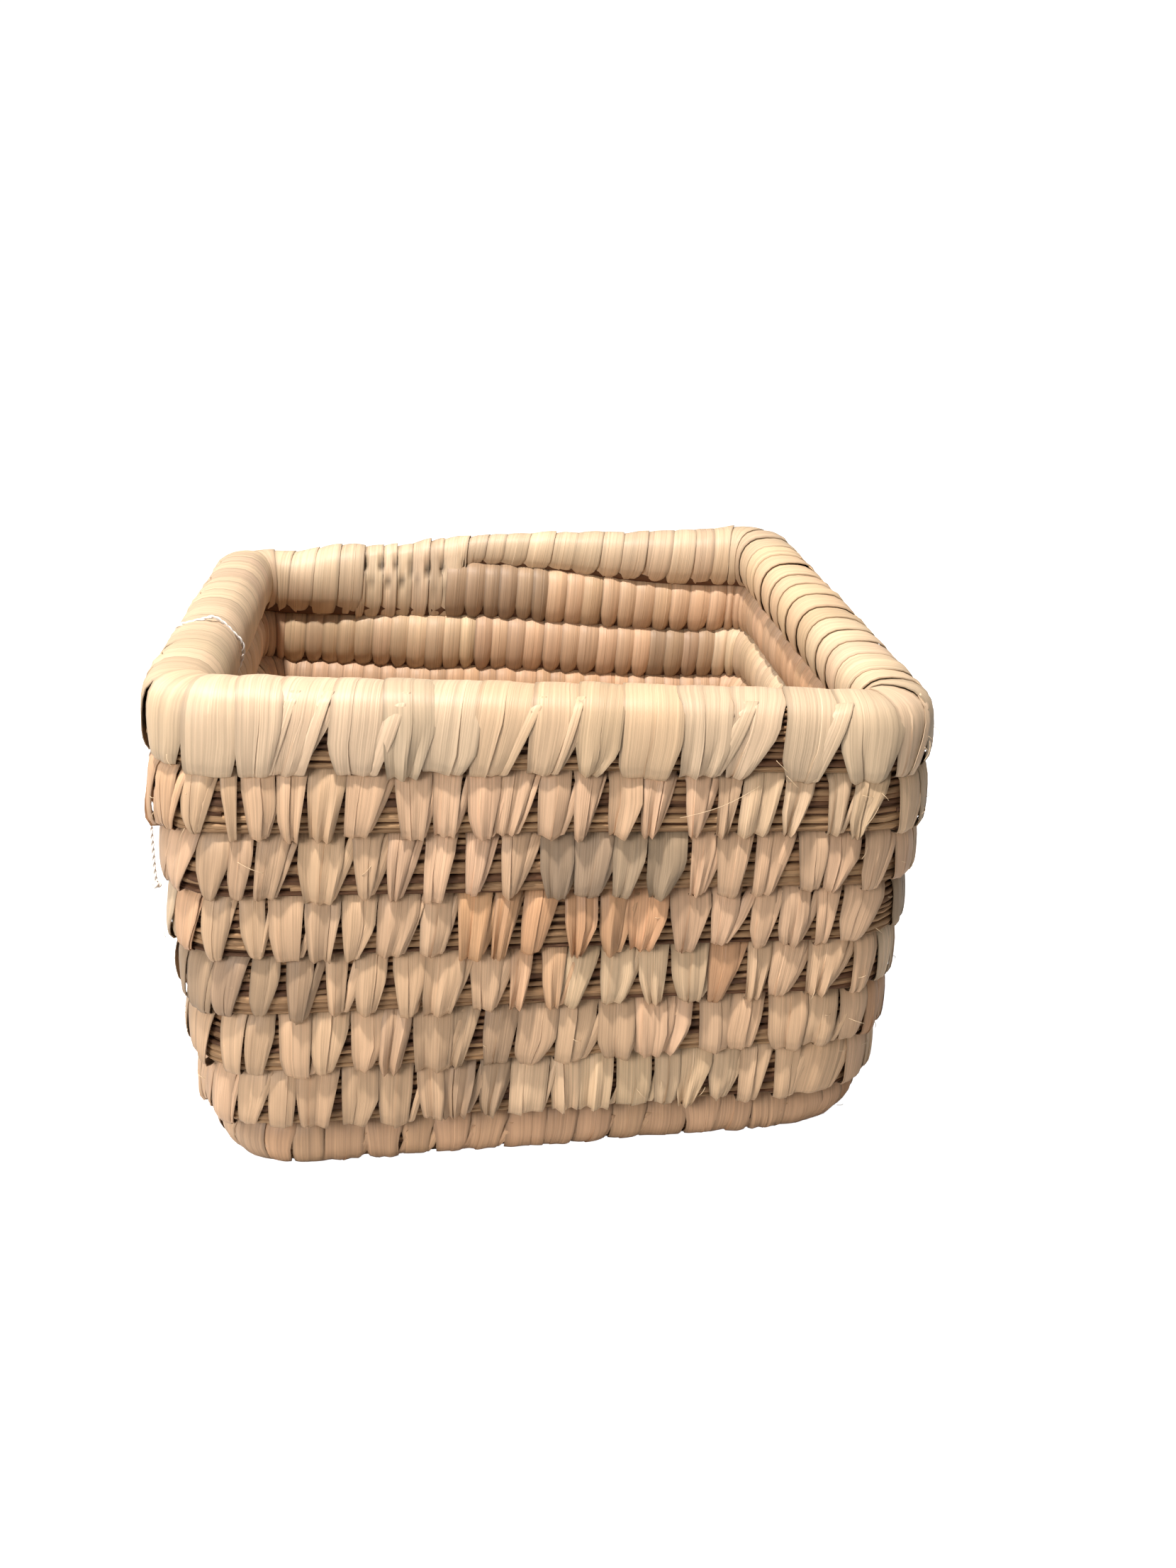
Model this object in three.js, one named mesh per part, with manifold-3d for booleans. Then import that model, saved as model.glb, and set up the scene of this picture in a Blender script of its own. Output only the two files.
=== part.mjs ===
// A square coiled basket, in millimetres, +Z up, with its origin on the floor under the rim's middle.
// Bundles of stalks run in one coil, out from the middle of the base and then up the wall. Strips of
// palm leaf are wound round each turn and bind it to the turn below. The last turn is a thick rim,
// which thins out on top of its own start. A white string hangs over the left side of the rim.
import * as THREE from "three";
import { mergeVertices } from "three/addons/utils/BufferGeometryUtils.js";
import Module from "manifold-3d";

// Wall and rim
const rimWidth = 260; // outer width and depth of the rim
const rimThickness = 25; // from its inside to its outside
const rimHeight = 25.6;
const wallTurns = 8; // the bottom turn, six more and the rim
const rowPitch = 21.3; // height of one wall turn
const rowThickness = 18.5;
const wallLean = 0.064; // how far a side moves out for each millimetre that it rises
const tuckDepth = 3.8; // how much further in the bottom turn stands than that leaves it
const tuckHeight = 38; // the wall is tucked in below this height over the bottom turn's middle
const rimCornerRadius = 15.5; // at the middle of the rim's bundle
const bottomCornerRadius = 24; // the same of the bottom turn

// Skew, as shares of the height and of the rim's width. The seam is in the back wall.
const seamRise = 0.09; // how much taller the rows are at the seam
const rightFall = 0.058; // how much lower they are at the right side than at the left
const backRise = 0.055; // how much taller they are at the back than at the front
const cornerRise = 0.118; // how much taller at the front left and the back right, as seen from above
const rightLean = 0.033; // how far the wall leans to the right for each millimetre that it rises

// Base
const baseTurns = 5; // turns on the floor inside the bottom turn
const baseCornerRadius = 12; // of the innermost turn
const baseLag = 0.15; // how much later, in legs, each turn further in has moved out
const baseClearance = 0.8; // from turn to turn in the base

// Leaf strips
const leafThickness = 1.4;
const leafClearance = 0.3; // from a bundle to the leaf round it
const nesting = 1.25; // how far the tips of a turn's stitches reach down over the turn below
const wallStitch = 22; // length of a stitch along the wall
const rimStitch = 19;
const baseStitch = 20;
const bendStep = 22; // between the cross-sections of a bundle where it bends or climbs
const leastStep = 2.5; // the least distance between two of them
const wallSlack = 0.7; // how much thinner a bundle is in a corner of the wall
const climbSlack = 0.3; // the same along the straights where it climbs
const baseSlack = 2.2; // the same in the base, where strips lie straight over longer bends
const floorWear = 0.5; // how deep the underside is worn flat

// The seam in the back wall, where each turn starts, and the rim's thin end. A turn has nine legs.
const seamShare = 0.35; // how far left of the middle the seam is, as a share of half the straight back
const tailStart = 7.8; // legs along the last turn where the rim starts to thin
const tailEnd = 9.5; // it ends past the seam, on top of the rim's own start
const tailSize = 5; // thickness and height of its end

// String. Its upper end lies in the groove under the inside of the rim. It goes up and over the left
// side of the rim, a little slantwise, and hangs down outside.
const stringDiameter = 1.4;
const stringSides = 8;
const stringStep = 4; // from ring to ring along it
const knotDiameter = 4.4;
const stringRoute = [
  [-108.4, -33.5, 155.6],
  [-105.7, -34.4, 160.7],
  [-104.0, -35.2, 165.6],
  [-104.4, -36.0, 169.4],
  [-106.7, -36.8, 172.7],
  [-109.9, -37.5, 176.8],
  [-113.1, -38.2, 179.1],
  [-116.9, -39.0, 178.6],
  [-121.1, -39.8, 177.8],
  [-125.1, -40.7, 177.0],
  [-128.1, -41.8, 173.1],
  [-130.3, -43.2, 168.4],
  [-132.5, -45.0, 163.3],
  [-134.3, -47.4, 157.5],
  [-135.7, -50.6, 150.5],
  [-136.7, -54.2, 142.0],
  [-137.4, -57.6, 133.0],
  [-137.9, -60.4, 124.0],
  [-138.2, -62.6, 115.0],
  [-138.4, -64.2, 106.0],
  [-138.5, -65.2, 97.0],
  [-138.5, -65.6, 88.0],
];

// Cross-sections, as shares of a turn's half thickness (outwards) and half height (up), from the tip
// of a stitch at the outside bottom, up the outside, over the top and down the inside. The middle and
// the half width of the leaf strip at each point are shares of one stitch.
const wallSection = [
  { out: 0.8, up: -1.0, along: 0.36, reach: 0.15 },
  { out: 1.0, up: 0.0, along: 0.47, reach: 0.42 },
  { out: 0.3, up: 0.93, along: 0.52, reach: 0.44 },
  { out: -0.72, up: 0.84, along: 0.46, reach: 0.42 },
  { out: -0.86, up: -0.66, along: 0.3, reach: 0.3 },
];
const rimSection = [
  { out: 0.86, up: -1.0, along: 0.34, reach: 0.17 },
  { out: 1.0, up: -0.1, along: 0.46, reach: 0.42 },
  { out: 0.62, up: 0.82, along: 0.52, reach: 0.45 },
  { out: -0.4, up: 1.0, along: 0.52, reach: 0.45 },
  { out: -1.0, up: 0.2, along: 0.46, reach: 0.42 },
  { out: -0.7, up: -0.6, along: 0.3, reach: 0.3 },
];
const baseSection = [
  { out: 0.8, up: -1.0, along: 0.4, reach: 0.27 },
  { out: 0.85, up: 0.55, along: 0.5, reach: 0.42 },
  { out: -0.1, up: 1.0, along: 0.52, reach: 0.42 },
  { out: -0.85, up: 0.4, along: 0.44, reach: 0.4 },
  { out: -0.8, up: -1.0, along: 0.36, reach: 0.26 },
];

// Levels and half widths that follow from these
const legs = 9;
const turnEnd = 0.006; // in legs, left free between one turn's pieces and the next's
const rowHeight = rowPitch + nesting;
const baseHeight = rowPitch - nesting;
const floorLevel = rowHeight / 2 - floorWear; // middle of the bottom turn
const rimLevel = floorLevel + (wallTurns - 1.5) * rowPitch + (rimHeight - nesting) / 2;
const foot = outerHalf(floorLevel) - rowThickness / 2; // from the basket's middle to the bottom turn's
const basePitch = foot / (baseTurns + 0.56); // leaves a pinhole in the middle of the base
const leafReach = leafClearance + leafThickness;
const leastGaps = [];

function smooth(t) {
  return THREE.MathUtils.smoothstep(t, 0, 1);
}

// Half the outer width of the wall at a height
function outerHalf(z) {
  const drop = Math.max(rimLevel - z, 0);
  const tuck = 1 - THREE.MathUtils.clamp((z - floorLevel) / tuckHeight, 0, 1);
  return rimWidth / 2 - wallLean * drop - tuckDepth * tuck * tuck;
}

// A place on the coil is counted in legs. Turn 1 is the bottom turn of the wall, turn 0 the one
// inside it, and the rim's thin end goes on past the last turn.
function turnOf(place) {
  const turn = Math.min(Math.floor(place / legs), wallTurns);
  return { turn, leg: place - turn * legs };
}

// A turn goes anticlockwise, straights and corners by turns: leg 0 runs from the seam to the back
// left corner, 2 along the left side, 4 the front, 6 the right side, and 8 back to the seam.
function squarePoint(leg, half, radius) {
  const whole = Math.min(Math.floor(leg), legs - 1);
  const share = leg - whole;
  const facing = ((Math.floor(whole / 2) + 1) * Math.PI) / 2;
  const outward = new THREE.Vector2(Math.cos(facing), Math.sin(facing));
  const onward = new THREE.Vector2(-outward.y, outward.x);
  const run = half - radius;
  if (whole % 2 === 1) {
    const angle = facing + (share * Math.PI) / 2;
    const normal = new THREE.Vector2(Math.cos(angle), Math.sin(angle));
    const middle = outward.clone().add(onward).multiplyScalar(run);
    return { at: middle.addScaledVector(normal, radius), normal, radius };
  }
  const from = whole === 0 ? seamShare * run : -run;
  const to = whole === legs - 1 ? seamShare * run : run;
  const at = outward.clone().multiplyScalar(half);
  at.addScaledVector(onward, THREE.MathUtils.lerp(from, to, share));
  return { at, normal: outward, radius };
}

// From the seam to the end of the left side, each turn climbs onto the one below or, in the base,
// moves out by one turn
function climbAngle(turn, leg) {
  const end = 3 + baseLag * Math.max(1 - turn, 0);
  return (THREE.MathUtils.clamp(leg / end, 0, 1) * Math.PI) / 2;
}

// A turn's thickness and height, and its seat: the thickness that sets where its middle is. The rim's
// thin end comes over the middle of the turn below, and then over that of its own start.
function coilSize(place) {
  const { turn, leg } = turnOf(place);
  const baseThickness = basePitch - baseClearance;
  if (turn < 1) return { thick: baseThickness, high: baseHeight, seat: baseThickness };
  if (turn < wallTurns) return { thick: rowThickness, high: rowHeight, seat: rowThickness };
  const grown = smooth(leg / 0.8);
  const thick = THREE.MathUtils.lerp(rowThickness, rimThickness, grown);
  const high = THREE.MathUtils.lerp(rowHeight, rimHeight, grown);
  const thinned = smooth((leg - tailStart) / (tailEnd - tailStart));
  const seat = THREE.MathUtils.lerp(thick, rowThickness, smooth((leg - tailStart) / (legs - tailStart)));
  return {
    thick: THREE.MathUtils.lerp(thick, tailSize, thinned),
    high: THREE.MathUtils.lerp(high, tailSize, thinned),
    seat: leg > legs ? coilSize(place - legs).seat : seat,
  };
}

// Height of a turn's middle
function coilLevel(place) {
  const { turn, leg } = turnOf(place);
  if (turn < 1) return baseHeight / 2 - floorWear;
  if (turn < 2) return floorLevel;
  if (turn < wallTurns) return floorLevel + (turn - 2 + Math.sin(climbAngle(turn, leg))) * rowPitch;
  const below = place - legs;
  return coilLevel(below) + (coilSize(below).high + coilSize(place).high) / 2 - nesting;
}

// Middle of the coil at a place, seen from above
function coilPath(place) {
  const { turn, leg } = turnOf(place);
  const lap = leg > legs ? leg - legs : leg;
  const level = coilLevel(place);
  if (turn > 1) {
    const share = THREE.MathUtils.clamp((level - floorLevel) / (rimLevel - floorLevel), 0, 1);
    const radius = THREE.MathUtils.lerp(bottomCornerRadius, rimCornerRadius, share);
    return squarePoint(lap, outerHalf(level) - coilSize(place).seat / 2, radius);
  }
  const half = foot - (1 - turn + Math.cos(climbAngle(turn, leg))) * basePitch;
  const radius = THREE.MathUtils.lerp(baseCornerRadius, bottomCornerRadius, half / foot);
  return squarePoint(lap, half, Math.min(half, radius));
}

// The same with the way outwards, square to the coil's own run
function coilMiddle(place) {
  const { at, normal, radius } = coilPath(place);
  const step = 1e-4;
  const onward = coilPath(place + step).at.sub(coilPath(place - step).at);
  const outward = new THREE.Vector2(onward.y, -onward.x).normalize();
  return { at, normal: onward.length() > step / 100 ? outward : normal, radius };
}

// Sets a point of the even basket where it is in the skewed one. The rows are tallest at the seam,
// and get lower along the back and the left side.
function skewed(leg, { x, y }, z) {
  const nearSeam = leg < 4 ? 1 - Math.sin(climbAngle(1, leg)) : smooth(leg - legs + 1);
  const right = x / rimWidth;
  const back = y / rimWidth;
  const tall = 1 + seamRise * nearSeam - rightFall * right + backRise * back + cornerRise * right * back;
  return new THREE.Vector3(x + rightLean * (z - rimLevel), y, z * tall);
}

// A point out and up from the coil's middle
function coilPoint(place, { x, y }) {
  const { leg } = turnOf(place);
  const { at, normal } = coilMiddle(place);
  at.addScaledVector(normal, x);
  return skewed(leg > legs ? leg - legs : leg, at, coilLevel(place) + y);
}

// A closed outline moved outwards by a distance, with mitred corners
function offsetOutline(outline, distance) {
  return outline.map((point, i) => {
    const before = outline[(i + outline.length - 1) % outline.length];
    const after = outline[(i + 1) % outline.length];
    const arriving = point.clone().sub(before).normalize();
    const leaving = after.clone().sub(point).normalize();
    const outward = new THREE.Vector2(leaving.y, -leaving.x);
    const bisector = new THREE.Vector2(arriving.y, -arriving.x).add(outward).normalize();
    return point.clone().addScaledVector(bisector, distance / bisector.dot(outward));
  });
}

// The bundle's outline, sized such that the leaf round it just fills the turn
function bundleOutline(section, { thick, high }) {
  const wanted = new THREE.Vector2(thick, high);
  let outline = section.map(({ out, up }) => new THREE.Vector2((out * thick) / 2, (up * high) / 2));
  for (let pass = 0; pass < 8; pass++) {
    const box = new THREE.Box2().setFromPoints(offsetOutline(outline, leafReach));
    const middle = box.getCenter(new THREE.Vector2());
    const excess = box.getSize(new THREE.Vector2()).sub(wanted);
    const size = new THREE.Box2().setFromPoints(outline).getSize(new THREE.Vector2());
    const scale = size.clone().sub(excess).divide(size);
    outline = outline.map((point) => point.clone().sub(middle).multiply(scale));
  }
  return outline;
}

// A closed body through rings of points, with flat ends, turned right side out
function bodyThrough(rings) {
  const size = rings[0].length;
  const index = [];
  for (let r = 0; r + 1 < rings.length; r++) {
    for (let i = 0; i < size; i++) {
      const a = r * size + i;
      const b = r * size + ((i + 1) % size);
      index.push(a, b, b + size, a, b + size, a + size);
    }
  }
  const last = (rings.length - 1) * size;
  for (let i = 1; i + 1 < size; i++) {
    index.push(0, i + 1, i, last, last + i, last + i + 1);
  }
  const points = rings.flat();
  let volume = 0;
  for (let i = 0; i < index.length; i += 3) {
    volume += points[index[i]].dot(points[index[i + 1]].clone().cross(points[index[i + 2]]));
  }
  if (volume < 0) index.reverse();
  return new THREE.BufferGeometry().setFromPoints(points).setIndex(index);
}

function distanceBetween(first, second) {
  return coilMiddle(first).at.distanceTo(coilMiddle(second).at);
}

function isCorner(leg) {
  return leg % 2 === 1 && leg < legs;
}

// Places where a bundle needs a cross-section: quarters of a corner and, along a straight, where a
// strip no longer reaches into the corner. The back and the left side, where it climbs, need more.
function bundlePlaces(from, to, reach) {
  const places = [];
  for (let whole = Math.floor(from); whole < to; whole++) {
    const { leg } = turnOf(whole);
    if (isCorner(leg)) {
      places.push(...[0, 1, 2, 3].map((n) => whole + n / 4));
      continue;
    }
    places.push(whole);
    const length = distanceBetween(whole, whole + 0.999);
    const margin = reach / length;
    if (margin > 0.4) continue;
    const steps = leg === 4 || leg === 6 ? 1 : Math.ceil((length - 2 * reach) / bendStep);
    for (let n = 0; n <= steps; n++) {
      places.push(whole + THREE.MathUtils.lerp(margin, 1 - margin, n / steps));
    }
  }
  const spread = [from];
  for (const place of places) {
    const free = place > from && distanceBetween(spread.at(-1), place) > leastStep;
    if (free && place < to - turnEnd) spread.push(place);
  }
  return [...spread, to];
}

// A strip lies straight across the outside of a bend, so the bundle is pulled in there
function bundleRing(place, section, reach) {
  const { turn, leg } = turnOf(place);
  const outline = bundleOutline(section, coilSize(place));
  const straight = !isCorner(Math.floor(leg)) && !isCorner(Math.ceil(leg) - 1);
  const slack = turn < 1 ? baseSlack : !straight ? wallSlack : leg < 3 || leg > 8 ? climbSlack : 0;
  const slim = offsetOutline(outline, -slack);
  if (straight) return slim.map((point) => coilPoint(place, point));
  const bend = coilPath(place).radius;
  const innermost = -0.15 * coilSize(place).thick;
  return slim.map(({ x, y }) => {
    const pulled = (bend + x) * Math.cos(reach / bend) - bend;
    return coilPoint(place, { x: x > innermost ? pulled : x, y });
  });
}

function bundle(from, to, section, stitchLength) {
  const reach = Math.max(...section.map((point) => point.reach)) * stitchLength;
  return bodyThrough(bundlePlaces(from, to, reach).map((place) => bundleRing(place, section, reach)));
}

// Gives the place at a distance along the coil
function measured(from, to) {
  const step = 1 / 24;
  const marks = [{ place: from, distance: 0 }];
  while (marks.at(-1).place < to) {
    const before = marks.at(-1);
    const place = Math.min(before.place + step, to);
    marks.push({ place, distance: before.distance + distanceBetween(before.place, place) });
  }
  const length = marks.at(-1).distance;
  const placeAt = (distance) => {
    const next = Math.max(marks.findIndex((mark) => mark.distance >= distance), 1);
    const [a, b] = [marks[next - 1], marks[next]];
    return THREE.MathUtils.mapLinear(distance, a.distance, b.distance, a.place, b.place);
  };
  return { length, placeAt };
}

// A leaf strip wound round the coil, one unbroken body. Each ring has its two edges, close to the bundle, and the crown.
function leafStrip(from, to, section, stitchLength) {
  const { length, placeAt } = measured(from, to);
  const count = Math.round(length / stitchLength);
  const stitch = length / count;
  const cornerAt = (distance, i, offset) => {
    const place = placeAt(distance * stitch);
    return coilPoint(place, offsetOutline(bundleOutline(section, coilSize(place)), offset)[i]);
  };
  const rings = [];
  for (let n = 0; n < count; n++) {
    section.forEach(({ along, reach }, i) => {
      rings.push([
        cornerAt(n + along - reach, i, leafClearance),
        cornerAt(n + along, i, leafReach),
        cornerAt(n + along + reach, i, leafClearance),
      ]);
    });
  }
  leastGaps.push(leastGap(rings, section.length));
  return bodyThrough(rings);
}

// The least distance from a strip's rings to those one or more stitches further on
function leastGap(rings, perStitch) {
  let least = Infinity;
  rings.forEach((ring, r) => {
    for (const point of ring) {
      for (const other of rings.slice(r + perStitch).flat()) least = Math.min(least, point.distanceTo(other));
    }
  });
  return least;
}

// The underside is cut flat where the turns rest on the floor
const wasm = await Module();
wasm.setup();

function solidOf(geometry) {
  const bare = new THREE.BufferGeometry();
  bare.setAttribute("position", geometry.getAttribute("position"));
  bare.setIndex(geometry.getIndex());
  const merged = mergeVertices(bare, 1e-4);
  const vertProperties = merged.getAttribute("position").array;
  const triVerts = new Uint32Array(merged.getIndex().array);
  return new wasm.Manifold(new wasm.Mesh({ numProp: 3, vertProperties, triVerts }));
}

function geometryOf(solid) {
  const { vertProperties, triVerts } = solid.getMesh();
  const geometry = new THREE.BufferGeometry();
  geometry.setAttribute("position", new THREE.BufferAttribute(vertProperties, 3));
  return geometry.setIndex(new THREE.BufferAttribute(triVerts, 1));
}

function wornFlat(geometry) {
  const ground = new THREE.BoxGeometry(2 * rimWidth, 2 * rimWidth, rimWidth);
  ground.translate(0, 0, -rimWidth / 2);
  return geometryOf(solidOf(geometry).subtract(solidOf(ground)));
}

// Materials
const leaf = new THREE.MeshStandardMaterial({ name: "palm_leaf", color: "#d9bd94", roughness: 0.55 });
const stalk = new THREE.MeshStandardMaterial({ name: "dry_stalk", color: "#8f7050", roughness: 0.8 });
const cotton = new THREE.MeshStandardMaterial({ name: "cotton", color: "#f4efea", roughness: 0.9 });

const basket = new THREE.Group();
basket.name = "square_coiled_basket";

function addPiece(name, geometry, material) {
  const mesh = new THREE.Mesh(geometry, material);
  mesh.name = name;
  basket.add(mesh);
}

// The base: the coil starts near the middle
const coilStart = (1 - baseTurns) * legs + 4;
addPiece("base_bundle", wornFlat(bundle(coilStart, legs - turnEnd, baseSection, baseStitch)), stalk);
addPiece("base_strip", wornFlat(leafStrip(coilStart, legs - turnEnd, baseSection, baseStitch)), leaf);

// The wall's turns, from the bottom one up
for (let turn = 1; turn < wallTurns; turn++) {
  const from = turn * legs;
  const to = from + legs - turnEnd;
  const worn = turn <= 2 ? wornFlat : (geometry) => geometry;
  addPiece(`row_${turn}_bundle`, worn(bundle(from, to, wallSection, wallStitch)), stalk);
  addPiece(`row_${turn}_strip`, worn(leafStrip(from, to, wallSection, wallStitch)), leaf);
}

// The rim, with its thin end
const rimStart = wallTurns * legs;
addPiece("rim_bundle", bundle(rimStart, rimStart + tailEnd, rimSection, rimStitch), stalk);
addPiece("rim_strip", leafStrip(rimStart, rimStart + tailEnd, rimSection, rimStitch), leaf);

// The string, with a knot round its lower end
function stringBody() {
  const route = stringRoute.map((point) => new THREE.Vector3(...point));
  const curve = new THREE.CatmullRomCurve3(route, false, "centripetal");
  const round = new THREE.Shape().absarc(0, 0, stringDiameter / 2, 0, 2 * Math.PI);
  const tube = new THREE.ExtrudeGeometry(round, {
    extrudePath: curve,
    steps: Math.round(curve.getLength() / stringStep),
    curveSegments: stringSides / 2,
    bevelEnabled: false,
  });
  const end = route.at(-1);
  const knot = new THREE.IcosahedronGeometry(knotDiameter / 2, 1);
  knot.translate(end.x, end.y, end.z + knotDiameter / 4);
  return geometryOf(solidOf(tube).add(solidOf(knot)));
}
addPiece("string", stringBody(), cotton);
console.log(`least gap of a leaf strip to itself: ${Math.min(...leastGaps).toFixed(2)} mm`);

export default basket;
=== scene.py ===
# A square basket, coiled from dry stalks and bound with palm leaf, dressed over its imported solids.
# Blender's metres and +Z up. Sizes that end in _mm are millimetres, as a maker measures them.
import math

import bpy
import numpy as np
from mathutils import Matrix, Vector


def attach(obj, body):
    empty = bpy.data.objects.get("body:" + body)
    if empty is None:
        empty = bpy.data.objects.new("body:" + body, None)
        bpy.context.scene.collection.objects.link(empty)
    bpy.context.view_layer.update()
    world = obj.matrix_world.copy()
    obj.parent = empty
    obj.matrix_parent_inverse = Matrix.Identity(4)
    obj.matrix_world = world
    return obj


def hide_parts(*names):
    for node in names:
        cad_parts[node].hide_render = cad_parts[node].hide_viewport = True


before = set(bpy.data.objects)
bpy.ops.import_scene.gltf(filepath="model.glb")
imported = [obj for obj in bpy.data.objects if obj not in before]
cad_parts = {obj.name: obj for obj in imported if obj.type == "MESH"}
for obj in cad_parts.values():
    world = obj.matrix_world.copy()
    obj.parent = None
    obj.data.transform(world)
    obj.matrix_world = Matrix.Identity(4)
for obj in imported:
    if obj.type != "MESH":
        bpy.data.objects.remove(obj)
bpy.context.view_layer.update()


# The photograph's camera. It stood in front of the basket and a little to its left, looked down by
# 19 degrees and was tilted by one. Distances count in widths of the rim.
rim_width_mm = 260
camera_azimuth = math.radians(-5.905)
camera_elevation = math.radians(18.656)
camera_roll = math.radians(-1.236)
camera_distance = 2.4399
camera_aside = 0.0882
camera_above = 0.0349
camera_target = Vector((0.0011, 0, 0.3367))
focal_length = 2213.1 / 2212  # in heights of the photograph
sensor_mm = 36

backward = Vector((
    math.sin(camera_azimuth) * math.cos(camera_elevation),
    -math.cos(camera_azimuth) * math.cos(camera_elevation),
    math.sin(camera_elevation),
))
level_right = Vector((0, 0, 1)).cross(backward).normalized()
level_up = backward.cross(level_right)
right = math.cos(camera_roll) * level_right + math.sin(camera_roll) * level_up
up = math.cos(camera_roll) * level_up - math.sin(camera_roll) * level_right
camera = bpy.data.objects.new("camera", bpy.data.cameras.new("camera"))
camera.data.sensor_width = sensor_mm
camera.data.lens = focal_length * sensor_mm
camera_place = camera_target + camera_distance * backward + camera_aside * right + camera_above * up
camera.matrix_world = (
    Matrix.Translation(camera_place * rim_width_mm / 1000)
    @ Matrix((right, up, backward)).transposed().to_4x4()
)
bpy.context.scene.collection.objects.link(camera)
bpy.context.scene.camera = camera


# The string. A thin white cotton string of two strands lies over the left side of the rim: its upper
# end is caught in the groove under the rim's inside, and its knotted lower end hangs down outside.
string_diameter = 0.0014
strand_radius = 0.00037
strand_twist = 0.0052  # length of one turn of the two strands round each other
knot_radius = 0.0017
knot_strand_radius = 0.0006
knot_above_end = 0.0011
string_route = [
    (-0.1084, -0.0335, 0.1556),
    (-0.1057, -0.0344, 0.1607),
    (-0.1040, -0.0352, 0.1656),
    (-0.1044, -0.0360, 0.1694),
    (-0.1067, -0.0368, 0.1727),
    (-0.1099, -0.0375, 0.1768),
    (-0.1131, -0.0382, 0.1791),
    (-0.1169, -0.0390, 0.1786),
    (-0.1211, -0.0398, 0.1778),
    (-0.1251, -0.0407, 0.1770),
    (-0.1281, -0.0418, 0.1731),
    (-0.1303, -0.0432, 0.1684),
    (-0.1325, -0.0450, 0.1633),
    (-0.1343, -0.0474, 0.1575),
    (-0.1357, -0.0506, 0.1505),
    (-0.1367, -0.0542, 0.1420),
    (-0.1374, -0.0576, 0.1330),
    (-0.1379, -0.0604, 0.1240),
    (-0.1382, -0.0626, 0.1150),
    (-0.1384, -0.0642, 0.1060),
    (-0.1385, -0.0652, 0.0970),
    (-0.1385, -0.0656, 0.0880),
]


def smooth_line(points, per_gap):
    """More points along a smooth curve through the given ones."""
    p = np.array(points, float)
    p = np.vstack([2 * p[0] - p[1], p, 2 * p[-1] - p[-2]])
    t = np.linspace(0, 1, per_gap, endpoint=False)[:, None]
    gaps = []
    for a, b, c, d in zip(p, p[1:], p[2:], p[3:]):
        gaps.append(b + 0.5 * t * (c - a + t * (2 * a - 5 * b + 4 * c - d + t * (3 * (b - c) + d - a))))
    return np.vstack([*gaps, p[-2]])


def distances_along(points):
    return np.append(0, np.linalg.norm(np.diff(points, axis=0), axis=1).cumsum())


def directions_along(points):
    onward = np.gradient(points, axis=0)
    return onward / np.linalg.norm(onward, axis=1, keepdims=True)


def mesh_object(name, points, faces, material, smooth_angle=None, **values):
    """A mesh from arrays of points and four-sided faces. Edges over smooth_angle stay sharp, apart
    from those between one point and the next. Each of values is kept for every point: "uv" as a UV
    map in metres, a value of three as a colour and any other as a plain number."""
    mesh = bpy.data.meshes.new(name)
    mesh.vertices.add(len(points))
    mesh.vertices.foreach_set("co", np.asarray(points, np.float32).ravel())
    mesh.loops.add(faces.size)
    mesh.loops.foreach_set("vertex_index", faces.astype(np.int32).ravel())
    mesh.polygons.add(len(faces))
    mesh.polygons.foreach_set("loop_start", np.arange(0, faces.size, 4, dtype=np.int32))
    mesh.polygons.foreach_set("use_smooth", np.ones(len(faces), bool))
    for value_name, value in values.items():
        value = np.asarray(value, np.float32)
        if value_name == "uv":
            layer = mesh.uv_layers.new(name="strip")
            layer.data.foreach_set("uv", value[faces.ravel()].ravel())
        elif value.ndim == 2:
            colour = mesh.attributes.new(value_name, "FLOAT_COLOR", "POINT")
            colour.data.foreach_set("color", np.hstack([value, np.ones((len(value), 1))]).ravel())
        else:
            mesh.attributes.new(value_name, "FLOAT", "POINT").data.foreach_set("value", value)
    mesh.update(calc_edges=True)
    mesh.validate()
    if smooth_angle:
        mesh.set_sharp_from_angle(angle=smooth_angle)
        ends = np.empty(len(mesh.edges) * 2, np.int32)
        mesh.edges.foreach_get("vertices", ends)
        sharp = np.empty(len(mesh.edges), bool)
        mesh.attributes["sharp_edge"].data.foreach_get("value", sharp)
        sharp &= np.abs(ends[::2] - ends[1::2]) != 1
        mesh.attributes["sharp_edge"].data.foreach_set("value", sharp)
    mesh.materials.append(material)
    piece = bpy.data.objects.new(name, mesh)
    bpy.context.scene.collection.objects.link(piece)
    return piece


def grid_faces(rows, columns, closed=False):
    """Faces between neighbouring points of a grid, whose columns may run round into a closed loop."""
    r = np.arange(rows - 1)[:, None]
    c = np.arange(columns if closed else columns - 1)[None, :]
    onward = (c + 1) % columns
    a = r * columns + c
    b = r * columns + onward
    return np.stack([a, b, b + columns, a + columns], -1).reshape(-1, 4)


def capped_tube(rings):
    """Points and faces of a closed tube through rings of points, drawn together at both ends."""
    rows, sides = rings.shape[:2]
    first = np.repeat(rings[:1].mean(1, keepdims=True), sides, 1)
    last = np.repeat(rings[-1:].mean(1, keepdims=True), sides, 1)
    points = np.vstack([first, rings, last]).reshape(-1, 3)
    return points, grid_faces(rows + 2, sides, closed=True)


def joined(tubes):
    """The points and faces of several tubes, as those of one mesh."""
    starts = np.append(0, np.cumsum([len(points) for points, _ in tubes]))
    faces = [own_faces + first for (_, own_faces), first in zip(tubes, starts)]
    return np.vstack([points for points, _ in tubes]), np.vstack(faces)


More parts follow.
